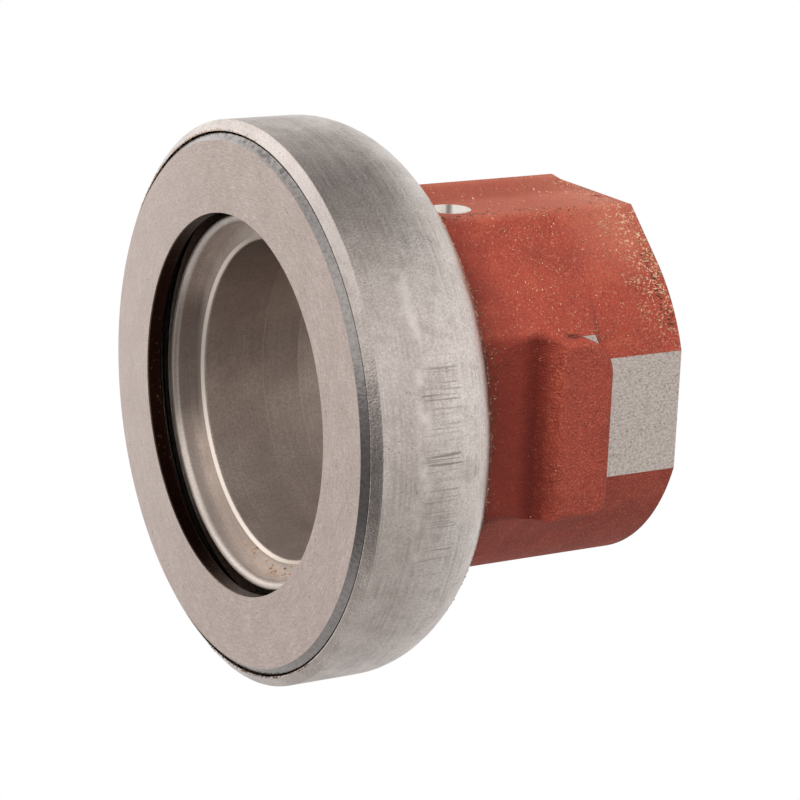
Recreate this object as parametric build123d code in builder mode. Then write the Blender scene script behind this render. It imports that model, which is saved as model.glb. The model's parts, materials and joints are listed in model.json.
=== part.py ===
import os
from math import cos, radians, sin, sqrt, tan

from build123d import *

# Clutch release thrust bearing on its sliding sleeve, in millimetres.
# It stands on the sleeve's rear end with the thrust face up. Z runs along the axis.
# The fork lugs point to -Y and +Y, and the lube flat faces +X.

# Heights of the two halves: cast sleeve body below, bearing above
body_length = 46.2
bearing_height = 30.3

# Sleeve bore and nose
bore_radius = 30.0
bore_chamfer = 0.6
sleeve_wall = 5.0
nose_set_back = 4.6
counterbore_step = 3.3
counterbore_depth = 4.5
nose_lip_rounding = 1.3
nose_edge_break = 0.25

# Grease relief between the bore's two lands
relief_depth = 0.35
front_land = 13.2
rear_land = 14.5

# Cast body and its fork lugs
body_step = 1.0
lug_width = 34.0
lug_offset = 0.4
lug_step = 4.15
lug_length = 11.3
lug_shoulder_height = 17.4
lug_corner_radius = 7.2
lug_small_corner_radius = 3.2
lug_run = 20.0
lug_run_rounding = 5.0
lug_edge_rounding = 1.4

# Swelling of the body that carries the lugs
swell_inset = 2.1
swell_rounding = 3.0
swell_allowance = 0.35
swell_taper = 1.2

# Milled fork pads below the lugs
pad_depth = 1.85

# Hollow in front of each lug
hollow_depth = 1.9
hollow_rounding = 3.2
hollow_ramp_angle = 55.0
hollow_crown_rounding = 2.0
collar_rise = 1.3
collar_slope = 0.1

# Boss with the lube flat, its guard rib and the drilled hole
boss_half_width = 14.0
boss_allowance = 0.3
boss_edge_rounding = 1.0
flat_depth = 0.1
flat_draft = 0.5
flat_end_drop = 0.6
flat_end_length = 5.0
rib_rise = 2.1
rib_foot = 1.5
rib_rise_width = 5.5
rib_foot_rounding = 6.0
rib_crest_rounding = 2.0
rib_tail = 6.0
lube_hole_radius = 3.9
lube_hole_offset = 7.6
lube_hole_depth = 40.8

# Cover shell
shell_wall = 2.0
shell_seat_width = 3.5
shell_set_back = 1.07
shell_bevel_depth = 1.4
shell_rim_flat = 0.2

# Balls, grooves and cage
ball_radius = 4.7625
ball_count = 20
ball_depth = 13.2
ball_clearance = 0.1
race_wall = 2.72
ring_wall = 2.635
shoulder_share = 0.48
lip_share = 0.8
cage_clearance = 0.8
cage_rim = 1.9
pocket_clearance = 0.2

# Thrust ring
ring_bore_step = 0.6
ring_plate = 3.3
ring_edge_chamfer = 1.2
ring_gap = 0.4
ring_rear_wall = 0.35
ring_bore_rounding = 0.7
ring_relief_depth = 5.4
ring_relief_gap = 1.2

# Inner race
race_set_back = 5.8
race_fit = 0.02
shell_fit = 0.03
race_edge_chamfer = 0.5
race_corner_gap = 0.3

# Sleeve radii worked out from the sizes above
journal_radius = bore_radius + sleeve_wall
counterbore_radius = bore_radius + counterbore_step
relief_radius = bore_radius + relief_depth
body_radius = journal_radius + body_step
pad_distance = body_radius - pad_depth
lug_height = pad_distance + lug_step
hollow_floor = body_radius - hollow_depth
flat_rear_distance = body_radius - flat_depth
flat_front_distance = flat_rear_distance - flat_draft
boss_height = flat_rear_distance + boss_allowance
rib_height = flat_rear_distance + rib_rise
reach = 2 * body_radius

# Bearing radii, stacked outwards from the journal
race_bore = journal_radius + race_fit
groove_radius = ball_radius + ball_clearance
pitch_radius = race_bore + race_wall + groove_radius
ring_radius = pitch_radius + groove_radius + ring_wall
shell_inside = ring_radius + ring_gap
shell_radius = shell_inside + shell_wall
shell_hole = journal_radius + shell_fit
corner_center = journal_radius + shell_seat_width
shell_corner = shell_radius - corner_center
inner_corner = shell_inside - corner_center
groove_shoulder = shoulder_share * ball_radius
groove_lip = lip_share * ball_radius
cage_thickness = 2 * (groove_shoulder - cage_clearance)

# Heights worked out from the sizes above
face_height = body_length + bearing_height
nose_height = face_height - nose_set_back
counterbore_floor = nose_height - counterbore_depth
ball_height = face_height - ball_depth
shell_floor = body_length + shell_wall
relief_top = counterbore_floor - front_land
ring_bottom = ball_height - groove_radius - ring_rear_wall

os.makedirs("parts", exist_ok=True)


def groove_rise(radial_offset):
    """Height of the groove's edge above the ball centre at a radial offset."""
    return sqrt(groove_radius**2 - radial_offset**2)


# Sleeve casting, turned nose and bore
lug_root = sqrt(body_radius**2 - (lug_width / 2 + lug_offset) ** 2)
lug_front = lug_shoulder_height + lug_length
collar_height = hollow_floor + collar_rise
ramp_cos = cos(radians(hollow_ramp_angle))
ramp_sin = sin(radians(hollow_ramp_angle))
crown_center_z = lug_front - hollow_crown_rounding * tan(radians(hollow_ramp_angle) / 2)
crown_end_z = crown_center_z + hollow_crown_rounding * ramp_sin
crown_end_height = lug_height - hollow_crown_rounding * (1 - ramp_cos)
hollow_start_height = hollow_floor + hollow_rounding * (1 - ramp_cos)
ramp_run = (crown_end_height - hollow_start_height) / tan(radians(hollow_ramp_angle))
hollow_start_z = crown_end_z + ramp_run
hollow_bottom_z = hollow_start_z + hollow_rounding * ramp_sin

rib_crest = rib_rise_width - rib_foot

near_side = Plane(origin=(0, 0, 0), x_dir=(0, -1, 0), z_dir=(-1, 0, 0))
far_side = Plane(origin=(0, 0, 0), x_dir=(0, 1, 0), z_dir=(1, 0, 0))

# Swelling under the lugs, tapered down to the body behind them
with BuildPart() as swelling:
    with BuildSketch(Plane.XY.offset(lug_shoulder_height)) as swelling_section:
        Circle(body_radius)
        swell_center = pad_distance + swell_allowance - swell_rounding
        with GridLocations(lug_width - 2 * swell_inset, 2 * swell_center, 2, 2):
            Circle(swell_rounding)
        make_hull(swelling_section.edges())
    extrude(amount=body_length - lug_shoulder_height)
    with BuildSketch(Plane.XZ):
        with BuildLine():
            taper_end = lug_shoulder_height + swell_taper * (lug_height - body_radius)
            Polyline((0, lug_shoulder_height), (body_radius, lug_shoulder_height), (lug_height, taper_end),
                     (lug_height, body_length), (0, body_length), close=True)
        make_face()
    revolve(axis=Axis.Z, mode=Mode.INTERSECT)

with BuildPart() as sleeve:
    # Cast body: a cylinder that runs out along straight flanks into the boss
    with BuildSketch(Plane.XY) as body_section:
        Circle(body_radius)
        with BuildLine():
            Polyline((boss_height, -boss_half_width), (rib_height, rib_crest), (0, 0), close=True)
        make_face()
        make_hull(body_section.edges())
    extrude(amount=body_length)

    # Turned journal above the shoulder
    with BuildSketch(Plane.XY.offset(body_length)):
        Circle(journal_radius)
    extrude(amount=nose_height - body_length)
    chamfer(sleeve.faces().sort_by(Axis.Z)[-1].edges(), nose_edge_break)

    # Milled fork pads
    add(swelling.part)
    for pad_start in (pad_distance, -pad_distance - body_radius):
        with BuildSketch(Plane.XZ.offset(pad_start)):
            with Locations((0, lug_front / 2)):
                Rectangle(reach, lug_front)
        extrude(amount=body_radius, mode=Mode.SUBTRACT)

    # Lugs on both sides, with rounded rear corners
    for lug_start in (lug_root, -lug_height):
        with BuildSketch(Plane.XZ.offset(lug_start)) as lug_outline:
            with Locations((-lug_offset, lug_shoulder_height + lug_run / 2)):
                Rectangle(lug_width, lug_run)
            fillet(lug_outline.vertices().group_by(Axis.Y)[-1], lug_run_rounding)
            fillet(lug_outline.vertices().group_by(Axis.Y)[0].sort_by(Axis.X)[-1], lug_corner_radius)
            fillet(lug_outline.vertices().group_by(Axis.Y)[0].sort_by(Axis.X)[0], lug_small_corner_radius)
        extrude(amount=lug_height - lug_root)

    # Rounded edges of the lugs' outer faces
    lug_faces = sleeve.faces().filter_by(Axis.Y).sort_by(Axis.Y)
    fillet(lug_faces[0].edges() + lug_faces[-1].edges(), lug_edge_rounding)

    # Hollow: collar beside the shell, rounded floor, ramp up to the lug's crown
    for side in (near_side, far_side):
        with BuildSketch(side) as hollow_profile:
            with BuildLine():
                floor_arc = CenterArc((hollow_floor + hollow_rounding, hollow_bottom_z), hollow_rounding,
                                      180, hollow_ramp_angle)
                crown_arc = CenterArc((lug_height - hollow_crown_rounding, crown_center_z),
                                      hollow_crown_rounding, 0, hollow_ramp_angle)
                Line(floor_arc @ 1, crown_arc @ 1)
                top_point = (collar_height, body_length)
                Spline(floor_arc @ 0, top_point, tangents=[(0, 1), (collar_slope, 1)])
                Polyline(top_point, (reach, body_length), (reach, crown_center_z), crown_arc @ 0)
            make_face()
        extrude(amount=lug_width, both=True, mode=Mode.SUBTRACT)

    # Lube flat with its casting draft, rounded up into the guard rib
    for height, distance in ((0, flat_rear_distance), (body_length, flat_front_distance)):
        with BuildSketch(Plane.XY.offset(height)) as flat_section:
            with BuildLine():
                slope = (rib_height - distance) / rib_rise_width
                Polyline((distance, -reach), (distance, -rib_foot),
                         (reach, rib_crest + (reach - rib_height) / slope), (reach, -reach), close=True)
            make_face()
            foot_corner = flat_section.vertices().group_by(Axis.X)[0].sort_by(Axis.Y)[-1]
            fillet(foot_corner, rib_foot_rounding)
    loft(ruled=True, mode=Mode.SUBTRACT)
    crest_edge = sleeve.edges().sort_by(Axis.X)[-1]
    fillet(crest_edge, rib_crest_rounding)
    boss_middle = (flat_rear_distance, -boss_half_width, body_length / 2)
    fillet(sleeve.edges().sort_by_distance(boss_middle)[0], boss_edge_rounding)

    # Rear ends of the flat and of the rib, rounded down towards the end face
    with BuildSketch(Plane.XZ.offset(rib_foot + rib_foot_rounding)) as flat_end:
        with BuildLine():
            end_radius = (flat_end_length**2 + flat_end_drop**2) / (2 * flat_end_drop)
            end_arc = RadiusArc((flat_rear_distance - flat_end_drop, 0),
                                (flat_rear_distance, flat_end_length), end_radius)
            Polyline(end_arc @ 1, (reach, flat_end_length), (reach, 0), end_arc @ 0)
        make_face()
    extrude(amount=reach, mode=Mode.SUBTRACT)
    with BuildSketch(Plane.XZ.offset(-reach)) as rib_end:
        with BuildLine():
            tail_drop = rib_height - flat_rear_distance + flat_end_drop
            tail_radius = (rib_tail**2 + tail_drop**2) / (2 * tail_drop)
            tail_arc = RadiusArc((rib_height - tail_drop, 0), (rib_height, rib_tail), tail_radius)
            Polyline(tail_arc @ 1, (reach, rib_tail), (reach, 0), tail_arc @ 0)
        make_face()
    extrude(amount=reach + rib_foot + rib_foot_rounding, mode=Mode.SUBTRACT)
    # Bore with its relief, chamfers and the counterbore of the nose
    with BuildSketch(Plane.XZ) as bore_section:
        with BuildLine():
            Polyline((0, 0), (bore_radius + bore_chamfer, 0), (bore_radius, bore_chamfer),
                     (bore_radius, rear_land), (relief_radius, rear_land + relief_depth),
                     (relief_radius, relief_top - relief_depth), (bore_radius, relief_top),
                     (bore_radius, counterbore_floor - bore_chamfer),
                     (bore_radius + bore_chamfer, counterbore_floor),
                     (counterbore_radius, counterbore_floor), (counterbore_radius, nose_height),
                     (0, nose_height), close=True)
        make_face()
    revolve(axis=Axis.Z, mode=Mode.SUBTRACT)
    lip_edge = sleeve.faces().sort_by(Axis.Z)[-1].edges().sort_by(SortBy.LENGTH)[0]
    fillet(lip_edge, nose_lip_rounding)

    # Drilled lube hole through the flat into the relief
    with Locations(Plane(origin=(reach, -lube_hole_offset, face_height - lube_hole_depth), z_dir=(1, 0, 0))):
        Cylinder(lube_hole_radius, reach, align=(Align.CENTER, Align.CENTER, Align.MAX), mode=Mode.SUBTRACT)
sleeve.part.label = "sleeve"
export_step(sleeve.part, "parts/sleeve.step")

# Inner race, pressed on the journal against the shell
race_top = face_height - race_set_back
lip_radius = pitch_radius - groove_lip
shoulder_radius = pitch_radius - groove_shoulder
race_seat = min(corner_center - race_corner_gap, shoulder_radius - race_edge_chamfer)
race_cone_top = shell_floor + shoulder_radius - race_seat
with BuildPart() as inner_race:
    with BuildSketch(Plane.XZ):
        with BuildLine():
            upper_start = (lip_radius, ball_height + groove_rise(groove_lip))
            lower_end = (shoulder_radius, ball_height - groove_rise(groove_shoulder))
            deepest = (pitch_radius - groove_radius, ball_height)
            ThreePointArc(upper_start, deepest, lower_end)
            Polyline(lower_end, (shoulder_radius, race_cone_top), (race_seat, shell_floor),
                     (race_bore, shell_floor), (race_bore, race_top), (lip_radius, race_top), upper_start)
        make_face()
    revolve(axis=Axis.Z)
    race_front = inner_race.faces().sort_by(Axis.Z)[-1]
    chamfer(race_front.edges(), race_edge_chamfer)
inner_race.part.label = "inner_race"
export_step(inner_race.part, "parts/inner_race.step")

# Cover shell, drawn from one sheet and open at the thrust face
shell_top = face_height - shell_set_back
corner_height = body_length + shell_corner
with BuildPart() as cover_shell:
    with BuildSketch(Plane.XZ):
        with BuildLine():
            CenterArc((corner_center, corner_height), shell_corner, 0, -90)
            CenterArc((corner_center, corner_height), inner_corner, 0, -90)
            Polyline((shell_radius, corner_height), (shell_radius, shell_top - shell_bevel_depth),
                     (shell_inside + shell_rim_flat, shell_top), (shell_inside, shell_top),
                     (shell_inside, corner_height))
            Polyline((corner_center, body_length), (shell_hole, body_length),
                     (shell_hole, shell_floor), (corner_center, shell_floor))
        make_face()
    revolve(axis=Axis.Z)
cover_shell.part.label = "cover_shell"
export_step(cover_shell.part, "parts/cover_shell.step")

# Thrust ring: ground face, relief over the inner race, ball groove
ring_bore_radius = journal_radius + ring_bore_step
ring_shoulder = pitch_radius + groove_shoulder
ring_lip = pitch_radius + groove_lip
ring_relief_radius = lip_radius + ring_relief_gap
plate_bottom = face_height - ring_plate
relief_roof = face_height - ring_relief_depth
with BuildPart() as thrust_ring:
    with BuildSketch(Plane.XZ) as ring_section:
        with BuildLine():
            groove_top = (ring_shoulder, ball_height + groove_rise(groove_shoulder))
            groove_end = (ring_lip, ball_height - groove_rise(groove_lip))
            ThreePointArc(groove_top, (pitch_radius + groove_radius, ball_height), groove_end)
            Polyline(groove_end, (ring_lip, ring_bottom), (ring_radius, ring_bottom),
                     (ring_radius, face_height), (ring_bore_radius, face_height),
                     (ring_bore_radius, plate_bottom), (ring_relief_radius, plate_bottom),
                     (ring_relief_radius, relief_roof), (ring_shoulder, relief_roof), groove_top)
        make_face()
        outer_corners = ring_section.vertices().group_by(Axis.X)[-1]
        chamfer(outer_corners.sort_by(Axis.Y)[-1], ring_edge_chamfer)
        bore_corners = ring_section.vertices().group_by(Axis.X)[0]
        fillet(bore_corners.sort_by(Axis.Y)[0], ring_bore_rounding)

        # The ring's rear corner keeps its running gap round the shell's inner corner
        with BuildLine():
            corner_arc = CenterArc((corner_center, corner_height), inner_corner - ring_gap, 0, -90)
            Polyline(corner_arc @ 1, (0, shell_floor + ring_gap), (0, face_height),
                     (ring_radius, face_height), corner_arc @ 0)
        make_face(mode=Mode.INTERSECT)
    revolve(axis=Axis.Z)
thrust_ring.part.label = "thrust_ring"
export_step(thrust_ring.part, "parts/thrust_ring.step")

# Ball cage with one window for each ball
window_radius = ball_radius + pocket_clearance
cage_height = 2 * (window_radius + cage_rim)
with BuildPart() as ball_cage:
    with BuildSketch(Plane.XY.offset(ball_height - cage_height / 2)):
        Circle(pitch_radius + cage_thickness / 2)
        Circle(pitch_radius - cage_thickness / 2, mode=Mode.SUBTRACT)
    extrude(amount=cage_height)
    with Locations((0, 0, ball_height)):
        with PolarLocations(pitch_radius, ball_count):
            Cylinder(window_radius, 2 * cage_thickness, rotation=(0, 90, 0), mode=Mode.SUBTRACT)
ball_cage.part.label = "ball_cage"
export_step(ball_cage.part, "parts/ball_cage.step")

# Balls, one in each window
for index in range(ball_count):
    angle = radians(360 * index / ball_count)
    with BuildPart() as ball:
        with Locations((pitch_radius * cos(angle), pitch_radius * sin(angle), ball_height)):
            Sphere(ball_radius)
    ball.part.label = f"ball_{index + 1:02d}"
    export_step(ball.part, f"parts/ball_{index + 1:02d}.step")
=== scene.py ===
import json
import math

import bpy
from mathutils import Matrix, Vector


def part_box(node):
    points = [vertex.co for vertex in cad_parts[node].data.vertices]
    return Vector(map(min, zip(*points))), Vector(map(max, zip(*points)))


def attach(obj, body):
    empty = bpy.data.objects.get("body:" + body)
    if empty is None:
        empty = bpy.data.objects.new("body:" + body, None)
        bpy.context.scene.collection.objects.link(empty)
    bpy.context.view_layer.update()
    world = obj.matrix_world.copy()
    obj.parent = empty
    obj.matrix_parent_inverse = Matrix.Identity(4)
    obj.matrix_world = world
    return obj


# Clutch release thrust bearing: a steel bearing on a red-primed cast sleeve.
# The frame is in metres. Zones, patterns and grit are given in millimetres.

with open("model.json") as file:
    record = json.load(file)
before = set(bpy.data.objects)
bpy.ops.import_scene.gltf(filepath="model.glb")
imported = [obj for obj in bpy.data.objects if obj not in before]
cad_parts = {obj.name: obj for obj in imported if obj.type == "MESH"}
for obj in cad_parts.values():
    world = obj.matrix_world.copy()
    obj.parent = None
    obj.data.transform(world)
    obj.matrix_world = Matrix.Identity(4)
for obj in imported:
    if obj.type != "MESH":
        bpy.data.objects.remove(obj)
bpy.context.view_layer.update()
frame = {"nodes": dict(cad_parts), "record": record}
scene = bpy.context.scene
nodes = frame["nodes"]
mounts = {mount["name"]: mount for mount in frame["record"]["mounts"]}
print("frame loaded:", len(nodes), "nodes")

perMetre = 1000.0  # millimetres in a metre

# Sizes that the patterns follow, read from the frame
portPlace = [perMetre * value for value in mounts["lube_port"]["pos_m"]]
portRadius = mounts["lube_port"]["dims"]["r_mm"]
boreRadius = mounts["rear_guide_bore"]["dims"]["r_mm"]
padDistance = abs(perMetre * mounts["fork_pad_near"]["pos_m"][1])
lugShoulder = perMetre * mounts["fork_stop_near"]["pos_m"][2]
faceHeight = perMetre * mounts["thrust_face"]["pos_m"][2]
counterboreFloor = faceHeight - 9.5
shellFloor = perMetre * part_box("cover_shell")[0].z
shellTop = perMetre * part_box("cover_shell")[1].z
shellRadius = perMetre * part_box("cover_shell")[1].x

# Stretches of a pattern on the unrolled bearing, so that it changes with height or with arc alone
byHeight = (0.0, 0.0, 1.0)
byArc = (0.0, 1.0, 0.0)


# sRGB hex to linear
def colour(hexCode):
    channels = [int(hexCode[i:i + 2], 16) / 255 for i in (1, 3, 5)]
    linear = [c / 12.92 if c <= 0.04045 else ((c + 0.055) / 1.055) ** 2.4 for c in channels]
    return (*linear, 1.0)


# One node: a setting goes to the input or the property of its name, a link joins a socket to an input.
# Where nothing varies, a link is a plain value.
def addNode(tree, kind, settings=None, links=None):
    node = tree.nodes.new(kind)
    for key, value in (settings or {}).items():
        if isinstance(key, int) or key in node.inputs:
            node.inputs[key].default_value = value
        else:
            setattr(node, key, value)
    for key, source in (links or {}).items():
        if isinstance(source, bpy.types.NodeSocket):
            tree.links.new(source, node.inputs[key])
        else:
            node.inputs[key].default_value = source
    return node.outputs


def newMaterial(name):
    material = bpy.data.materials.new(name)
    material.use_nodes = True
    material.node_tree.nodes.clear()
    return material, material.node_tree


# A position taken apart: x, y, z, the distance from the axis and the angle from -Y towards +X
def aroundAxis(tree, position):
    x, y, z = addNode(tree, "ShaderNodeSeparateXYZ", links={0: position})
    settings = {"operation": "MULTIPLY", 1: (1.0, 1.0, 0.0)}
    flat = addNode(tree, "ShaderNodeVectorMath", settings, {0: position})[0]
    radius = addNode(tree, "ShaderNodeVectorMath", {"operation": "LENGTH"}, {0: flat})["Value"]
    front = addNode(tree, "ShaderNodeMath", {"operation": "MULTIPLY", 1: -1.0}, {0: y})[0]
    angle = addNode(tree, "ShaderNodeMath", {"operation": "ARCTAN2"}, {0: x, 1: front})[0]
    return x, y, z, radius, angle


# Where a point of the surface lies, in millimetres: arc is the way round the shell,
# and wound is the point on the unrolled bearing
def bearingPlace(tree):
    spot = addNode(tree, "ShaderNodeTexCoord")["Object"]
    point = addNode(tree, "ShaderNodeVectorMath", {"operation": "SCALE", "Scale": perMetre}, {0: spot})[0]
    x, y, z, radius, angle = aroundAxis(tree, point)
    arc = addNode(tree, "ShaderNodeMath", {"operation": "MULTIPLY", 1: shellRadius}, {0: angle})[0]
    wound = addNode(tree, "ShaderNodeCombineXYZ", links={0: radius, 1: arc, 2: z})[0]
    return {"point": point, "x": x, "y": y, "z": z, "radius": radius, "arc": arc, "wound": wound}


# Masks multiplied together and by a share
def overlap(tree, masks, share=1.0):
    result = masks[0]
    for mask in masks[1:]:
        result = addNode(tree, "ShaderNodeMath", {"operation": "MULTIPLY"}, {0: result, 1: mask})[0]
    return addNode(tree, "ShaderNodeMath", {"operation": "MULTIPLY", 1: share}, {0: result})[0]


# Masks joined: 1 where any of them is
def joined(tree, masks):
    result = masks[0]
    for mask in masks[1:]:
        result = addNode(tree, "ShaderNodeMath", {"operation": "MAXIMUM"}, {0: result, 1: mask})[0]
    return result


# A value raised by the given amount where a mask shows
def raised(tree, value, mask, amount):
    return addNode(tree, "ShaderNodeMath", {"operation": "MULTIPLY_ADD", 1: amount}, {0: mask, 2: value})[0]


# 1 from low to high and 0 outside, with edges as soft as given. None leaves a side open.
def between(tree, value, low, high, soft):
    edges = []
    for end, before, after in ((low, 0.0, 1.0), (high, 1.0, 0.0)):
        if end is not None:
            settings = {1: end - soft / 2, 2: end + soft / 2, 3: before, 4: after}
            edges.append(addNode(tree, "ShaderNodeMapRange", settings, {0: value})[0])
    return overlap(tree, edges)


# Cloudy pattern with features of the given size, drawn from low to high as 0 to 1
def cloudy(tree, place, size, low=0.3, high=0.7, detail=3.0, stretch=(1.0, 1.0, 1.0), shift=0.0,
           along="point"):
    settings = {"Scale": stretch, "Location": (shift, shift, shift)}
    moved = addNode(tree, "ShaderNodeMapping", settings, {0: place[along]})[0]
    settings = {"Scale": 1 / size, "Detail": detail}
    wave = addNode(tree, "ShaderNodeTexNoise", settings, {"Vector": moved})["Fac"]
    settings = {"interpolation_type": "SMOOTHSTEP", 1: low, 2: high}
    return addNode(tree, "ShaderNodeMapRange", settings, {0: wave})[0]


# The masks of a piece by name: its patterns, and its zones, which lie within all of their ranges
def drawMasks(tree, piece, place):
    masks = {name: cloudy(tree, place, **pattern) for name, pattern in piece["patterns"].items()}
    for name, ranges in piece.get("zones", {}).items():
        masks[name] = overlap(tree, [between(tree, place[along], *ends) for along, ends in ranges.items()])
    return masks


# Colours laid over a ground: each layer is a colour, its share and the masks that show it
def layered(tree, colours, ground, layers, masks):
    base = colour(colours[ground])
    for name, share, *shownBy in layers:
        links = {0: overlap(tree, [masks[mask] for mask in shownBy], share), 6: base}
        base = addNode(tree, "ShaderNodeMix", {"data_type": "RGBA", 7: colour(colours[name])}, links)[2]
    return base


# Surface of one material: colour, roughness, metal share and a height for its bumps, as deep as given
def finishSurface(tree, base, rough, metal, height, depth, specular=0.5):
    settings = {"Strength": 1.0, "Distance": depth / perMetre}
    normal = addNode(tree, "ShaderNodeBump", settings, {"Height": height})[0]
    links = {"Base Color": base, "Roughness": rough, "Metallic": metal, "Normal": normal}
    shader = addNode(tree, "ShaderNodeBsdfPrincipled", {"Specular IOR Level": specular}, links)[0]
    addNode(tree, "ShaderNodeOutputMaterial", links={0: shader})


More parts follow.
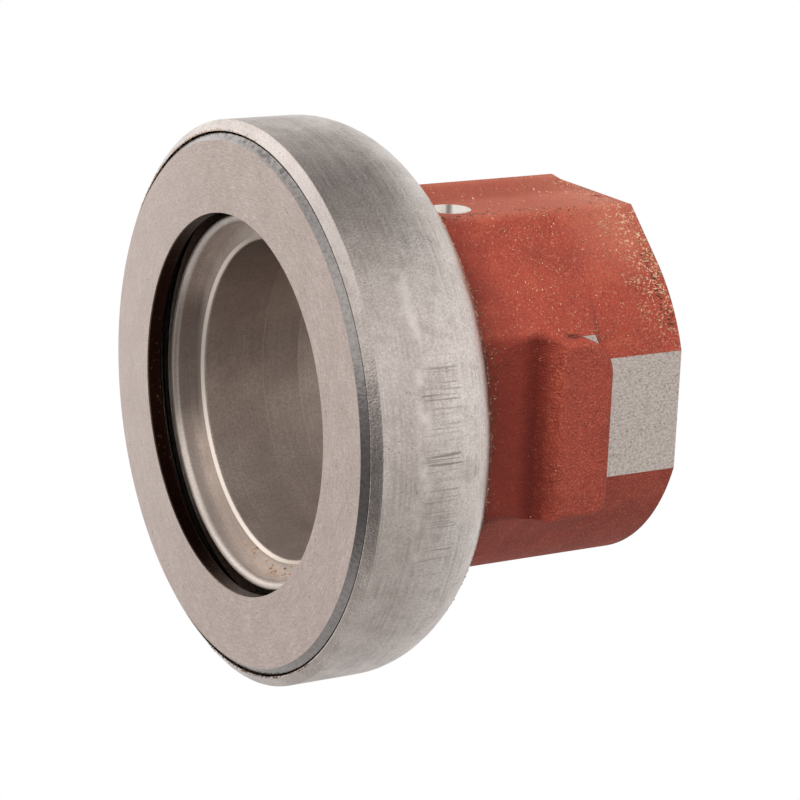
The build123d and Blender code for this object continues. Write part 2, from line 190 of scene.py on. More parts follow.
# Sleeve: cast iron in brick-red primer, bare where it is turned, milled or drilled.
# A range of a zone is from, to and how soft its edges are. Sand leaves a grain of about 0.4 mm.
# The tool's lines lie about 0.15 mm apart, too fine to show, and are drawn at 0.3 to 0.4 mm.
sleeve = {
    "colours": {
        "primer": "#A24535", "primerDark": "#883A2D", "primerWarm": "#B0523C", "primerPale": "#C0755F",
        # hollow and trough are dark primer colours for painted shade in the hollow beside the lug
        "shade": "#74291E", "hollowShade": "#7A2A1E", "troughShade": "#520B05", "dust": "#EBC3A0", "grime": "#40201A",
        "iron": "#DCCFC6", "ironDark": "#A89B93", "pit": "#6A5E57", "bore": "#DFCEC3", "boreDark": "#9A8B82",
        # mouth and port are near-white colours for a painted highlight and a painted reflection
        "mouth": "#FFEFE2", "port": "#FFFBF6", "portDarkReflection": "#6A5E57",
    },
    "zones": {
        "bore": {"radius": (None, boreRadius + 1.1, 0.02), "z": (None, counterboreFloor - 0.5, 0.02)},
        "boreStep": {"radius": (boreRadius + 0.2, boreRadius + 0.9, 0.1)},
        # painted shade: the bore is darkened on its upper side
        "shadedUpperBore": {"x": (12.0, None, 36.0)},
        # painted highlight: a near-white line where the bore meets the counterbore floor
        "mouth": {"radius": (boreRadius + 0.1, boreRadius + 0.62, 0.06),
                  "z": (counterboreFloor - 0.5, counterboreFloor + 0.5, 0.1)},
        "nose": {"z": (shellFloor + 0.05, faceHeight, 0.02)},
        # painted light: the nose is lightened on its lower side
        "litLowerNose": {"x": (None, -16.0, 12.0), "radius": (boreRadius + 1.2, None, 0.4)},
        "noseTop": {"x": (-14.0, None, 10.0), "y": (30.4, None, 3.0)},
        "rear": {"z": (None, 0.05, 0.02)},
        "pad": {"side": (padDistance - 0.02, padDistance + 0.02, 0.01), "z": (None, lugShoulder + 8.0, 0.1)},
        # painted reflection: the lube hole's wall is near white, with a dark band down it
        "port": {"fromPort": (None, portRadius + 0.06, 0.05), "x": (boreRadius * 0.8, None, 0.1)},
        "portDarkReflection": {"z": (portPlace[2] - 0.6 * portRadius, portPlace[2] - 0.35 * portRadius, 0.6)},
        # painted shade: the primer is darkened in the hollow beside the lug, most in its trough
        "hollowShade": {"side": (33.4, 37.0, 1.0), "z": (30.8, 46.0, 5.0)},
        "troughShade": {"side": (33.4, 35.8, 1.0), "z": (30.6, 33.8, 3.2)},
        # painted shade on the slope beside the guard rib and a painted highlight on its crest
        "ribSlopeShade": {"x": (31.0, None, 0.6), "y": (-2.5, 3.2, 3.0)},
        "ribCrestHighlight": {"x": (32.0, None, 0.6), "y": (3.8, 9.0, 3.0)},
        # painted highlight: the boss's upper flat is paler
        "bossFaceHighlight": {"x": (35.0, None, 1.0)},
        # painted shadow: the primer is darkened below the shell
        "shadowUnderShell": {"z": (37.5, None, 7.0)},
        "shellSeat": {"z": (43.0, None, 2.4)},
        "smudge": {"fromSmudge": (None, 1.7, 1.4)},
        "dustySide": {"x": (12.0, None, 16.0)},
        # paler on the upper side towards the rear end
        "paleUpperRear": {"x": (27.0, None, 9.0), "z": (-1.0, 13.0, 11.0)},
        "lowerBody": {"z": (-1.0, 36.0, 10.0)},
        "rearRim": {"z": (-1.0, 5.0, 8.0)},
    },
    "patterns": {
        "grain": dict(size=0.42, low=0.3, high=0.75, detail=2.0),
        "swell": dict(size=2.4, low=0.2, high=0.8, detail=2.0),
        "blotch": dict(size=9.0, low=0.4, high=0.75, detail=4.0),
        "warmBlotch": dict(size=5.0, low=0.5, high=0.8, detail=4.0, shift=9.0),
        "paleGrain": dict(size=0.42, low=0.5, high=0.75, detail=2.0),
        "pores": dict(size=0.5, low=0.52, high=0.72, detail=2.0, shift=7.0),
        "shadeCloud": dict(size=6.0, low=0.2, high=0.6, shift=2.0),
        "seatGrime": dict(size=1.5, low=0.25, high=0.8),
        "smudgeGrime": dict(size=1.3, low=0.4, high=0.6),
        "dustCloud": dict(size=11.0, low=0.35, high=0.65, shift=3.0),
        "flecks": dict(size=0.6, low=0.7, high=0.76, detail=1.0, stretch=(1.0, 0.5, 1.4)),
        "rareFlecks": dict(size=0.5, low=0.755, high=0.8, detail=1.0, stretch=(1.3, 0.6, 1.0), shift=6.0),
        "rimFlecks": dict(size=0.5, low=0.58, high=0.66, detail=1.0, stretch=(1.0, 1.0, 0.8), shift=5.0),
        "turnedLines": dict(along="wound", size=0.5, low=0.25, high=0.75, stretch=(1.0, 0.0, 1.6)),
        "millGrain": dict(size=0.36, low=0.35, high=0.65, detail=2.0, stretch=(1.0, 1.0, 0.6)),
        "millPits": dict(size=0.45, low=0.62, high=0.7, detail=1.0, shift=2.0),
        "noseCloud": dict(size=5.0),
        "boreCloud": dict(size=6.0),
        "borePits": dict(size=0.45, low=0.4, high=0.75, detail=2.0, shift=9.0),
    },
    "redLayers": [
        ("primerDark", 0.7, "blotch"),
        ("primerWarm", 0.9, "warmBlotch"),
        ("primerPale", 0.6, "paleGrain"),
        ("shade", 0.55, "pores"),
        ("primerPale", 0.5, "paleUpperRear"),
        ("primerPale", 0.4, "bossFaceHighlight"),
        ("shade", 0.3, "ribSlopeShade"),
        ("primerPale", 0.55, "ribCrestHighlight"),
        ("shade", 0.6, "shadowUnderShell", "shadeCloud"),
        ("hollowShade", 0.75, "hollowShade"),
        ("troughShade", 0.7, "troughShade"),
        ("grime", 0.6, "shellSeat", "seatGrime"),
        ("grime", 0.9, "smudge", "smudgeGrime"),
        ("dust", 0.85, "flecks", "dustCloud", "dustySide", "lowerBody"),
        ("dust", 0.6, "rareFlecks"),
        ("dust", 0.8, "rimFlecks", "dustySide", "rearRim"),
    ],
    "ironLayers": [
        ("ironDark", 0.55, "milled", "millGrain"),
        ("pit", 0.5, "milled", "millPits"),
        ("ironDark", 0.5, "nose", "turnedLines", "noseCloud"),
        ("bore", 0.9, "bore"),
        ("boreDark", 0.4, "bore", "boreCloud"),
        ("boreDark", 0.35, "bore", "turnedLines"),
        # painted shade on the bore's upper side
        ("pit", 0.75, "bore", "shadedUpperBore"),
        ("pit", 0.35, "bore", "borePits"),
        ("mouth", 0.13, "bore", "boreStep"),
        ("ironDark", 0.4, "nose", "millGrain"),
        ("mouth", 0.15, "nose", "litLowerNose"),
        ("pit", 0.6, "nose", "noseTop"),
        ("dust", 0.5, "turned", "rareFlecks"),
        # painted reflection on the lube hole's wall, near white with a dark band
        ("port", 1.0, "port"),
        ("portDarkReflection", 0.8, "port", "portDarkReflection"),
        # painted highlight on the bore's mouth
        ("mouth", 1.0, "mouth"),
    ],
    "smudgePlace": (16.0, -34.6, 24.6),
    "primerRough": 0.72, "ironRough": 0.36, "portRough": 0.2,
    "boreShine": -0.25, "portShine": -0.6, "specular": 0.3,
    "swellHeight": 1.6, "lineHeight": 0.04, "bumpDepth": 0.13,
}


def primedCastIron():
    # sand-cast iron under brushed primer: matt brick red, finely grained, with pale dust in it;
    # its cut faces are plain grey iron with the tool's lines
    material, tree = newMaterial("primed_cast_iron")
    place = bearingPlace(tree)
    point = place["point"]
    place["side"] = addNode(tree, "ShaderNodeMath", {"operation": "ABSOLUTE"}, {0: place["y"]})[0]
    settings = {"operation": "DISTANCE", 1: sleeve["smudgePlace"]}
    place["fromSmudge"] = addNode(tree, "ShaderNodeVectorMath", settings, {0: point})["Value"]
    settings = {"operation": "SUBTRACT", 1: portPlace}
    offset = addNode(tree, "ShaderNodeVectorMath", settings, {0: point})[0]
    settings = {"operation": "MULTIPLY", 1: (0.0, 1.0, 1.0)}
    offset = addNode(tree, "ShaderNodeVectorMath", settings, {0: offset})[0]
    place["fromPort"] = addNode(tree, "ShaderNodeVectorMath", {"operation": "LENGTH"}, {0: offset})["Value"]

    # where iron is bare: bore and nose, rear end and fork pads, lube hole
    masks = drawMasks(tree, sleeve, place)
    masks["turned"] = joined(tree, [masks["bore"], masks["nose"]])
    masks["milled"] = joined(tree, [masks["pad"], masks["rear"]])
    # the lube hole's near-white wall with its dark band is a painted reflection
    port = masks["port"]
    bare = joined(tree, [masks["turned"], masks["milled"], port])

    red = layered(tree, sleeve["colours"], "primer", sleeve["redLayers"], masks)
    iron = layered(tree, sleeve["colours"], "iron", sleeve["ironLayers"], masks)
    base = addNode(tree, "ShaderNodeMix", {"data_type": "RGBA"}, {0: bare, 6: red, 7: iron})[2]
    rough = addNode(tree, "ShaderNodeMix", {2: sleeve["primerRough"], 3: sleeve["ironRough"]}, {0: bare})[0]
    rough = addNode(tree, "ShaderNodeMix", {3: sleeve["portRough"]}, {0: port, 2: rough})[0]
    metal = raised(tree, bare, masks["turned"], sleeve["boreShine"])
    metal = raised(tree, metal, port, sleeve["portShine"])
    cast = raised(tree, masks["grain"], masks["swell"], sleeve["swellHeight"])
    cut = overlap(tree, [masks["turnedLines"]], sleeve["lineHeight"])
    bumps = addNode(tree, "ShaderNodeMix", links={0: bare, 2: cast, 3: cut})[0]
    finishSurface(tree, base, rough, metal, bumps, sleeve["bumpDepth"], sleeve["specular"])
    return material


# Cover shell: deep-drawn steel. An uneven edge is a height that a pattern lifts by as much as given.
# Draw lines are finer than 0.1 mm and wouldn't show, so they are drawn at about 0.4 mm.
shell = {
    "colours": {
        "steel": "#E2D6CF", "cloud": "#C8BBB4", "grain": "#A89C95", "light": "#F0E6DF", "rear": "#564A45",
        "mark": "#8D817A", "wave": "#F6EDE6", "pit": "#5A4F4A", "rust": "#A57B55",
    },
    "unevenEdges": {
        "frayed": (2.4, dict(along="wound", size=1.2, low=0.2, high=0.8, detail=2.0, stretch=byArc)),
        "wavy": (0.4, dict(along="wound", size=5.0, low=0.25, high=0.75, detail=4.0, stretch=byArc)),
    },
    "zones": {
        "markedFront": {"arc": (-18.0, 21.0, 8.0), "frayed": (59.8, 66.6, 0.8)},
        "wave": {"arc": (-18.0, 38.0, 4.0), "wavy": (64.7, 66.8, 1.5)},
        "drawn": {"z": (50.0, 63.0, 6.0)},
        "bevel": {"z": (shellTop - 1.3, None, 0.2)},
        # painted highlight: the bevel is paler across part of its arc
        "bevelHighlight": {"arc": (42.0, 82.0, 24.0)},
        # partly dark oxide, partly painted shade: the shell's rear corner is darkened except on its upper
        # side
        "oxideAndShade": {"x": (-60.0, 32.0, 20.0), "z": (None, 50.5, 1.2)},
    },
    "patterns": {
        "grain": dict(size=0.4, low=0.25, high=0.75, detail=2.0),
        "lightGrain": dict(size=0.36, low=0.4, stretch=(1.0, 1.0, 0.6), shift=5.0),
        "cloud": dict(size=6.0, detail=4.0),
        "bands": dict(along="wound", size=2.6, detail=1.0, stretch=byHeight),
        "rings": dict(along="wound", size=0.7, low=0.4, high=0.62, detail=2.0, stretch=byHeight, shift=7.0),
        "ringGroups": dict(size=5.0, low=0.4, high=0.65, shift=5.0),
        "drawLines": dict(along="wound", size=0.42, low=0.5, high=0.68, detail=1.0, stretch=(0.0, 1.0, 0.03)),
        "lineGroups": dict(along="wound", size=2.6, high=0.6, detail=2.0, stretch=(0.0, 1.0, 0.08),
                           shift=4.0),
        "waveGaps": dict(along="wound", size=2.4, low=0.4, high=0.62, detail=4.0, stretch=(0.0, 0.6, 0.6)),
        "scratches": dict(along="wound", size=0.4, low=0.68, high=0.74, detail=1.0, stretch=(0.0, 0.03, 1.0),
                          shift=2.0),
        "scratchGroups": dict(size=12.0, low=0.48, high=0.6, shift=8.0),
        "smudges": dict(size=3.5, low=0.5, high=0.72, detail=4.0, shift=9.0),
        "pits": dict(size=0.42, low=0.66, high=0.72, detail=1.0, shift=4.0),
        "pitGroups": dict(size=7.0, low=0.5, high=0.66, shift=1.0),
        "rust": dict(size=1.3, low=0.68, high=0.76, shift=6.0),
        "rustGroups": dict(size=9.0, low=0.45, high=0.6),
    },
    "layers": [
        ("cloud", 0.8, "cloud"),
        ("cloud", 0.45, "bands"),
        ("light", 0.4, "lightGrain"),
        ("light", 0.85, "drawn"),
        ("grain", 0.5, "grain"),
        ("mark", 0.3, "rings", "ringGroups"),
        ("mark", 0.24, "smudges"),
        ("light", 0.55, "bevel", "bevelHighlight"),
        ("mark", 1.0, "marks"),
        ("wave", 0.55, "wave", "waveGaps"),
        ("wave", 0.35, "scratches", "scratchGroups"),
        ("rust", 0.5, "rust", "rustGroups"),
        ("pit", 0.6, "pits", "pitGroups"),
        # dark oxide and painted shade on the rear corner
        ("rear", 0.9, "oxideAndShade"),
    ],
    "markShare": 0.75, "rough": 0.29, "cloudRough": 0.1, "bevelRough": -0.13,
    "grainHeight": 0.5, "bandHeight": 0.8, "markHeight": -1.0, "bumpDepth": 0.035,
}


def drawnSteel():
    # cold-drawn steel sheet: soft warm-grey sheen, fine draw lines along the axis on its front,
    # a bright uneven line where the draw ended, small pits and ticks of rust
    material, tree = newMaterial("drawn_steel")
    place = bearingPlace(tree)
    for name, (lift, pattern) in shell["unevenEdges"].items():
        place[name] = raised(tree, place["z"], cloudy(tree, place, **pattern), lift)
    masks = drawMasks(tree, shell, place)
    lines = [masks["drawLines"], masks["lineGroups"], masks["markedFront"]]
    masks["marks"] = overlap(tree, lines, shell["markShare"])
    base = layered(tree, shell["colours"], "steel", shell["layers"], masks)
    rough = raised(tree, shell["rough"], masks["cloud"], shell["cloudRough"])
    rough = raised(tree, rough, masks["bevel"], shell["bevelRough"])
    bumps = raised(tree, masks["cloud"], masks["grain"], shell["grainHeight"])
    bumps = raised(tree, bumps, masks["bands"], shell["bandHeight"])
    bumps = raised(tree, bumps, masks["marks"], shell["markHeight"])
    finishSurface(tree, base, rough, 1.0, bumps, shell["bumpDepth"])
    return material


# Thrust ring: ground on its face, dark from hardening on its chamfer and in its bore.
# The grinding stone's strokes are about 0.02 mm wide, too fine to show, and are drawn at about 0.3 mm.
ring = {
    "colours": {
        "ground": "#D5C5BC", "cloud": "#BEADA4", "grain": "#AA9990", "light": "#DFD1C9", "pit": "#4A403B",
        "fleck": "#D9B08C", "chamfer": "#B0A9A6", "chamferDark": "#837D7B", "scale": "#514A48",
        "bore": "#3A2720", "boreDust": "#8D6E5A",
    },
    "zones": {
        "face": {"z": (faceHeight - 0.03, None, 0.02)},
        # painted reflection: the ground face is paler towards +Y
        "paintedReflectionSide": {"y": (35.0, None, 50.0)},
        "chamfer": {"radius": (48.4, None, 0.02), "z": (faceHeight - 3.0, faceHeight - 0.03, 0.02)},
        "scaleEdge": {"arc": (56.0, 92.0, 20.0), "radius": (49.2, None, 0.5)},
        "bore": {"radius": (None, 36.5, 0.1), "z": (None, faceHeight - 0.25, 0.3)},
    },
    "patterns": {
        "strokes": dict(along="wound", size=0.6, stretch=(2.0, 0.25, 1.0)),
        "across": dict(size=0.5, detail=2.0, stretch=(2.0, 0.3, 1.0), shift=4.0),
        "cloud": dict(size=7.0, detail=4.0),
        "smallCloud": dict(size=2.2, low=0.5, high=0.75, detail=4.0, shift=6.0),
        "lightGrain": dict(size=0.4, low=0.5, high=0.75, shift=8.0),
        "flecks": dict(size=0.7, low=0.74, high=0.78, detail=1.0, shift=11.0),
        "pits": dict(size=0.45, low=0.71, high=0.76, detail=1.0, shift=12.0),
        "speckle": dict(size=0.7, low=0.35, shift=2.0),
        "scale": dict(size=1.3, low=0.42, high=0.66, shift=5.0),
        "boreDust": dict(size=0.8, low=0.68, high=0.74, detail=1.0, shift=1.0),
    },
    "layers": [
        ("cloud", 0.6, "cloud"),
        ("grain", 0.55, "strokes"),
        ("grain", 0.5, "across"),
        ("light", 0.6, "lightGrain"),
        ("cloud", 0.6, "smallCloud"),
        ("light", 0.5, "paintedReflectionSide"),
        ("fleck", 0.6, "flecks"),
        ("pit", 0.6, "pits"),
        ("chamfer", 1.0, "chamfer"),
        ("chamferDark", 0.5, "chamfer", "speckle"),
        ("scale", 0.6, "chamfer", "scale", "scaleEdge"),
        ("bore", 1.0, "bore"),
        ("boreDust", 0.7, "bore", "boreDust"),
    ],
    "faceRough": 0.37, "darkRough": 0.23, "acrossHeight": 0.6, "speckleHeight": 1.2, "bumpDepth": 0.012,
}


def groundBearingSteel():
    # hardened bearing steel: pale even grey from the grinding stone with hardly visible strokes;
    # blue-grey scale and dark oil where the stone didn't reach
    material, tree = newMaterial("ground_bearing_steel")
    masks = drawMasks(tree, ring, bearingPlace(tree))
    face = masks["face"]
    base = layered(tree, ring["colours"], "ground", ring["layers"], masks)
    rough = addNode(tree, "ShaderNodeMix", {2: ring["darkRough"], 3: ring["faceRough"]}, {0: face})[0]
    fine = raised(tree, masks["strokes"], masks["across"], ring["acrossHeight"])
    coarse = overlap(tree, [masks["speckle"]], ring["speckleHeight"])
    bumps = addNode(tree, "ShaderNodeMix", links={0: face, 2: coarse, 3: fine})[0]
    finishSurface(tree, base, rough, 1.0, bumps, ring["bumpDepth"])
    return material


# Inner race, cage and balls, behind the shell
inner = {
    "colours": {"race": "#A9A29C", "cage": "#8C857D", "ball": "#D8D6D2", "oil": "#5B4A3C"},
    "patterns": {"oilCloud": dict(size=3.0, low=0.4, high=0.8), "ripple": dict(size=0.5)},
    "layers": [("oil", 0.4, "oilCloud")],
    "rough": {"race": 0.25, "cage": 0.42, "ball": 0.07}, "bumpDepth": 0.003,
}


def oiledSteel(name, part):
    # bearing steel under a thin film of old oil: bright, with brownish clouds
    material, tree = newMaterial(name)
    masks = drawMasks(tree, inner, bearingPlace(tree))
    base = layered(tree, inner["colours"], part, inner["layers"], masks)
    finishSurface(tree, base, inner["rough"][part], 1.0, masks["ripple"], inner["bumpDepth"])
    return material


finishes = {
    "sleeve": primedCastIron(), "cover_shell": drawnSteel(), "thrust_ring": groundBearingSteel(),
    "inner_race": oiledSteel("turned_race_steel", "race"),
    "ball_cage": oiledSteel("pressed_cage_steel", "cage"),
}
ballSteel = oiledSteel("polished_ball_steel", "ball")
for name, node in nodes.items():
    for materialSlot in node.material_slots:
        materialSlot.material = finishes.get(name, ballSteel)
print("finishes on", len(nodes), "nodes")


# Grit and lint that stick to the surfaces in clumps. A patch lies from low to high in angle (degrees
# from -Y towards +X), radius and height. A higher level leaves more of it empty.
grit = {
    "patches": {
        "rearRim": dict(node="sleeve", low=(25.0, 34.5, 0.5), high=(58.0, 39.0, 2.2),
                        perSquare=4.6, clump=2.4, level=0.48, size=0.34, seed=3, finish="tanDust"),
        "rearRimDark": dict(node="sleeve", low=(25.0, 34.5, 0.5), high=(52.0, 39.0, 3.0),
                            perSquare=3.0, clump=2.0, level=0.5, size=0.3, seed=6, finish="darkCrumb"),
        "rearFlank": dict(node="sleeve", low=(26.0, 34.5, 2.0), high=(66.0, 39.0, 9.0),
                          perSquare=1.8, clump=3.2, level=0.55, size=0.28, seed=4, finish="tanDust"),
        "flank": dict(node="sleeve", low=(22.0, 34.5, 9.0), high=(68.0, 39.0, 30.0),
                      perSquare=0.6, clump=5.0, level=0.52, size=0.22, seed=5, finish="tanDust"),
        "bossEdge": dict(node="sleeve", low=(66.0, 36.5, 8.0), high=(71.0, 39.5, 41.0),
                         perSquare=2.0, clump=2.4, level=0.52, size=0.22, seed=9, finish="darkCrumb"),
        # dark crumbs in the joint below the shell, set densely as a painted shade line too
        "shellSeatCrumbsAndShade": dict(node="sleeve", low=(-62.0, 34.0, 40.4), high=(78.0, 40.0, 46.0),
                              perSquare=4.0, clump=1.8, level=0.42, size=0.2, seed=15, finish="darkCrumb"),
        "shellSeat": dict(node="sleeve", low=(-62.0, 34.0, 40.4), high=(78.0, 40.0, 46.0),
                          perSquare=1.4, clump=1.8, level=0.54, size=0.2, seed=13, finish="tanDust"),
        "counterbore": dict(node="sleeve", low=(-108.0, 30.7, 66.9), high=(-72.0, 33.3, 68.0),
                            perSquare=0.8, clump=1.6, level=0.48, size=0.42, seed=21, finish="tanDust"),
        "shellCorner": dict(node="cover_shell", low=(-75.0, 44.0, 48.4), high=(62.0, 49.0, 51.4),
                            perSquare=2.4, clump=2.2, level=0.5, size=0.17, seed=17, finish="tanDust"),
        "shellRimAbove": dict(node="cover_shell", low=(84.0, 50.2, 74.8), high=(156.0, 50.9, 76.0),
                              perSquare=7.0, clump=2.4, level=0.42, size=0.15, seed=27, finish="tanDust"),
        "shellRimBelow": dict(node="cover_shell", low=(-100.0, 50.2, 74.8), high=(-52.0, 50.8, 76.0),
                              perSquare=8.0, clump=2.4, level=0.4, size=0.19, seed=31, finish="darkCrumb"),
    },
    "chipLeast": (0.35, 0.3, 0.15), "chipMost": (1.7, 0.7, 0.45), "turnMost": (6.28, 6.28, 6.28),
    "finishes": {
        "tanDust": {"grain": "#DDBB98", "otherGrain": "#9A7154"},
        "darkCrumb": {"grain": "#3C261D", "otherGrain": "#7C5A42"},
    },
    "patterns": {"clouds": dict(size=0.9, low=0.35, high=0.65), "fuzz": dict(size=0.2)},
    "layers": [("otherGrain", 1.0, "clouds")],
    "rough": 0.9, "bumpDepth": 0.02,
}


def dryGrit(finish):
    # dry dust and lint: quite matt, each grain a little lighter or darker
    material, tree = newMaterial("dry_" + finish)
    masks = drawMasks(tree, grit, bearingPlace(tree))
    base = layered(tree, grit["finishes"][finish], "grain", grit["layers"], masks)
    finishSurface(tree, base, grit["rough"], 0.0, masks["fuzz"], grit["bumpDepth"])
    return material


def gritTree():
    tree = bpy.data.node_groups.new("scattered grit", "GeometryNodeTree")
    sockets = {"Geometry": "Geometry", "Low": "Vector", "High": "Vector", "Density": "Float",
               "Clump": "Float", "Level": "Float", "Size": "Float", "Seed": "Int", "Finish": "Material"}
    for name, kind in sockets.items():
        tree.interface.new_socket(name, in_out="INPUT", socket_type="NodeSocket" + kind)
    tree.interface.new_socket("Geometry", in_out="OUTPUT", socket_type="NodeSocketGeometry")
    given = addNode(tree, "NodeGroupInput")

    # points all over the surface, and how far each lies inside the patch
    links = {"Mesh": given["Geometry"], "Density": given["Density"], "Seed": given["Seed"]}
    spread = addNode(tree, "GeometryNodeDistributePointsOnFaces", links=links)
    position = addNode(tree, "GeometryNodeInputPosition")[0]
    x, y, z, radius, angle = aroundAxis(tree, position)
    place = addNode(tree, "ShaderNodeCombineXYZ", links={0: angle, 1: radius, 2: z})[0]
    settings = {"operation": "SUBTRACT"}
    aboveLow = addNode(tree, "ShaderNodeVectorMath", settings, {0: place, 1: given["Low"]})[0]
    belowHigh = addNode(tree, "ShaderNodeVectorMath", settings, {0: given["High"], 1: place})[0]
    settings = {"operation": "MINIMUM"}
    margin = addNode(tree, "ShaderNodeVectorMath", settings, {0: aboveLow, 1: belowHigh})[0]
    margins = addNode(tree, "ShaderNodeSeparateXYZ", links={0: margin})
    least = addNode(tree, "ShaderNodeMath", settings, {0: margins[0], 1: margins[1]})[0]
    least = addNode(tree, "ShaderNodeMath", settings, {0: least, 1: margins[2]})[0]
    outside = addNode(tree, "ShaderNodeMath", {"operation": "LESS_THAN", 1: 0.0}, {0: least})[0]

    # only the points in clumps inside the patch stay
    links = {0: position, 1: given["Clump"]}
    scaled = addNode(tree, "ShaderNodeVectorMath", {"operation": "DIVIDE"}, links)[0]
    clumps = addNode(tree, "ShaderNodeTexNoise", {"Scale": 1.0, "Detail": 2.0}, {"Vector": scaled})["Fac"]
    thin = addNode(tree, "ShaderNodeMath", {"operation": "LESS_THAN"}, {0: clumps, 1: given["Level"]})[0]
    links = {"Geometry": spread["Points"], "Selection": joined(tree, [thin, outside])}
    kept = addNode(tree, "GeometryNodeDeleteGeometry", links=links)[0]

    # each grain is a squashed, turned chip
    chip = addNode(tree, "GeometryNodeMeshIcoSphere", {"Subdivisions": 1, "Radius": 1.0})[0]
    seed = {"Seed": given["Seed"]}
    settings = {"data_type": "FLOAT_VECTOR", "Max": grit["turnMost"]}
    turn = addNode(tree, "FunctionNodeRandomValue", settings, seed)["Value"]
    settings = {"data_type": "FLOAT_VECTOR", "Min": grit["chipLeast"], "Max": grit["chipMost"]}
    shape = addNode(tree, "FunctionNodeRandomValue", settings, seed)["Value"]
    links = {0: shape, "Scale": given["Size"]}
    shape = addNode(tree, "ShaderNodeVectorMath", {"operation": "SCALE"}, links)[0]
    links = {"Points": kept, "Instance": chip, "Rotation": turn, "Scale": shape}
    grains = addNode(tree, "GeometryNodeInstanceOnPoints", links=links)[0]
    solid = addNode(tree, "GeometryNodeRealizeInstances", links={0: grains})[0]
    links = {"Geometry": solid, "Material": given["Finish"]}
    done = addNode(tree, "GeometryNodeSetMaterial", links=links)[0]
    addNode(tree, "NodeGroupOutput", links={0: done})
    return tree


def scatterGrit(name, patch, tree, material):
    surface = nodes[patch["node"]]
    mesh = surface.data.copy()
    mesh.transform(surface.matrix_world)
    mesh.materials.clear()
    piece = bpy.data.objects.new(name, mesh)
    scene.collection.objects.link(piece)
    modifier = piece.modifiers.new("grit", "NODES")
    modifier.node_group = tree
    low, high = [(math.radians(angle), radius / perMetre, height / perMetre)
                 for angle, radius, height in (patch["low"], patch["high"])]
    values = {"Low": low, "High": high, "Density": patch["perSquare"] * perMetre ** 2,
              "Clump": patch["clump"] / perMetre, "Level": patch["level"], "Size": patch["size"] / perMetre,
              "Seed": patch["seed"], "Finish": material}
    for item in tree.interface.items_tree:
        if item.name in values:
            modifier[item.identifier] = values[item.name]
    evaluated = piece.evaluated_get(bpy.context.evaluated_depsgraph_get())
    made = bpy.data.meshes.new_from_object(evaluated)
    piece.modifiers.remove(modifier)
    piece.data = made
    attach(piece, "carrier")
    print("grit", name, len(made.polygons), "faces")


grainTree = gritTree()
dusts = {finish: dryGrit(finish) for finish in grit["finishes"]}
for name, patch in grit["patches"].items():
    scatterGrit(name, patch, grainTree, dusts[patch["finish"]])


# Camera of the photograph, in the frame
camera = {
    "place": (0.15343, -0.47274, 0.32030), "lookAt": (-0.00602, 0.00947, 0.03465),
    "upward": (0.96106, 0.25572, -0.10479), "lens": 135.0, "sensor": 36.0, "farthest": 50.0,
}


def placeCamera():
    data = bpy.data.cameras.new("camera")
    data.lens = camera["lens"]
    data.sensor_width = camera["sensor"]
    data.clip_end = camera["farthest"]
    stand = bpy.data.objects.new("camera", data)
    forward = (Vector(camera["lookAt"]) - Vector(camera["place"])).normalized()
    right = forward.cross(Vector(camera["upward"])).normalized()
    turn = Matrix((right, right.cross(forward), -forward)).transposed().to_4x4()
    stand.matrix_world = Matrix.Translation(camera["place"]) @ turn
    scene.collection.objects.link(stand)
    scene.camera = stand


# White paper under it and a soft studio, dark overhead and low in front as the steel shows. A level is
# a place, from 0 opposite the camera's upward to 1 at that upward, and its brightness.
studio = {
    "floorSize": 8.0, "floorColour": "#FFFFFF",
    "levels": ((0.0, 0.50), (0.09, 0.55), (0.29, 0.68), (0.45, 0.88),
               (0.72, 0.92), (0.89, 0.62), (0.94, 0.34), (1.0, 0.12)),
    "dimSide": dict(way=(-0.28, -0.50, 0.82), edge=0.80, middle=0.97, change=-0.75),
    "brightSide": dict(way=(0.49, 0.83, 0.27), edge=0.70, middle=0.97, change=0.5),
    "softboxWay": (0.80, -0.35, 0.48), "softboxDistance": 0.8, "softboxSize": 0.6, "softboxPower": 5.3,
}


def layFloor():
    half = studio["floorSize"] / 2
    corners = [(-half, -half, 0), (half, -half, 0), (half, half, 0), (-half, half, 0)]
    mesh = bpy.data.meshes.new("floor")
    mesh.from_pydata(corners, [], [(0, 1, 2, 3)])
    floor = bpy.data.objects.new("floor", mesh)
    scene.collection.objects.link(floor)
    material, tree = newMaterial("white_paper")
    settings = {"Color": colour(studio["floorColour"]), "Strength": 1.0}
    light = addNode(tree, "ShaderNodeEmission", settings)[0]
    addNode(tree, "ShaderNodeOutputMaterial", links={0: light})
    mesh.materials.append(material)
    floor.visible_glossy = False
    floor.visible_diffuse = False
    floor.visible_shadow = False


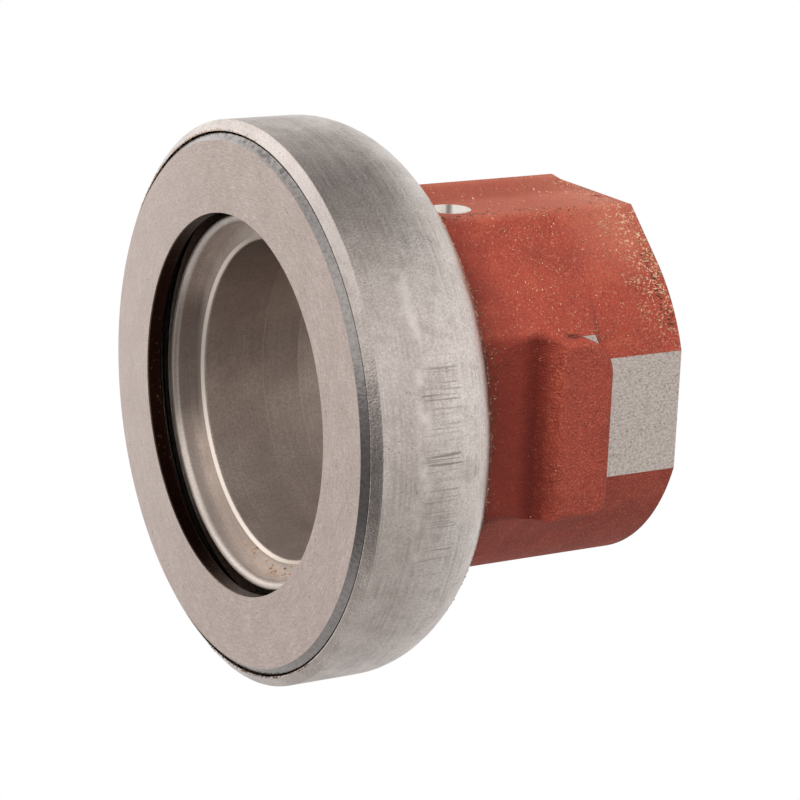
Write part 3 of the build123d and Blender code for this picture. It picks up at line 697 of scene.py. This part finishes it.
def lightWorld():
    world = bpy.data.worlds.new("studio")
    scene.world = world
    world.use_nodes = True
    tree = world.node_tree
    tree.nodes.clear()
    way = addNode(tree, "ShaderNodeTexCoord")["Generated"]
    settings = {"operation": "DOT_PRODUCT", 1: camera["upward"]}
    rise = addNode(tree, "ShaderNodeVectorMath", settings, {0: way})["Value"]
    share = addNode(tree, "ShaderNodeMapRange", {1: -1.0, 2: 1.0}, {0: rise})[0]
    light = addNode(tree, "ShaderNodeValToRGB", links={0: share})[0]
    stops = light.node.color_ramp.elements
    for index, (place, level) in enumerate(studio["levels"]):
        stop = stops[index] if index < 2 else stops.new(place)
        stop.position = place
        stop.color = (level, level, level, 1.0)
    for side in (studio["dimSide"], studio["brightSide"]):
        settings = {"operation": "DOT_PRODUCT", 1: side["way"]}
        near = addNode(tree, "ShaderNodeVectorMath", settings, {0: way})["Value"]
        settings = {"interpolation_type": "SMOOTHSTEP", 1: side["edge"], 2: side["middle"],
                    3: 1.0, 4: 1.0 + side["change"]}
        factor = addNode(tree, "ShaderNodeMapRange", settings, {0: near})[0]
        light = addNode(tree, "ShaderNodeVectorMath", {"operation": "MULTIPLY"}, {0: light, 1: factor})[0]
    light = addNode(tree, "ShaderNodeBackground", {"Strength": 1.0}, {0: light})[0]
    addNode(tree, "ShaderNodeOutputWorld", links={0: light})


# One softbox above and in front, which the steel doesn't mirror
def hangSoftbox():
    data = bpy.data.lights.new("softbox", "AREA")
    data.shape = "DISK"
    data.size = studio["softboxSize"]
    data.energy = studio["softboxPower"]
    softbox = bpy.data.objects.new("softbox", data)
    way = Vector(studio["softboxWay"]).normalized()
    middle = Vector((0.0, 0.0, faceHeight / 2 / perMetre))
    softbox.location = middle + way * studio["softboxDistance"]
    softbox.rotation_euler = way.to_track_quat("Z", "Y").to_euler()
    softbox.visible_glossy = False
    softbox.visible_camera = False
    scene.collection.objects.link(softbox)


placeCamera()
layFloor()
lightWorld()
hangSoftbox()
scene.view_settings.view_transform = "Standard"
print("camera, floor and light placed")
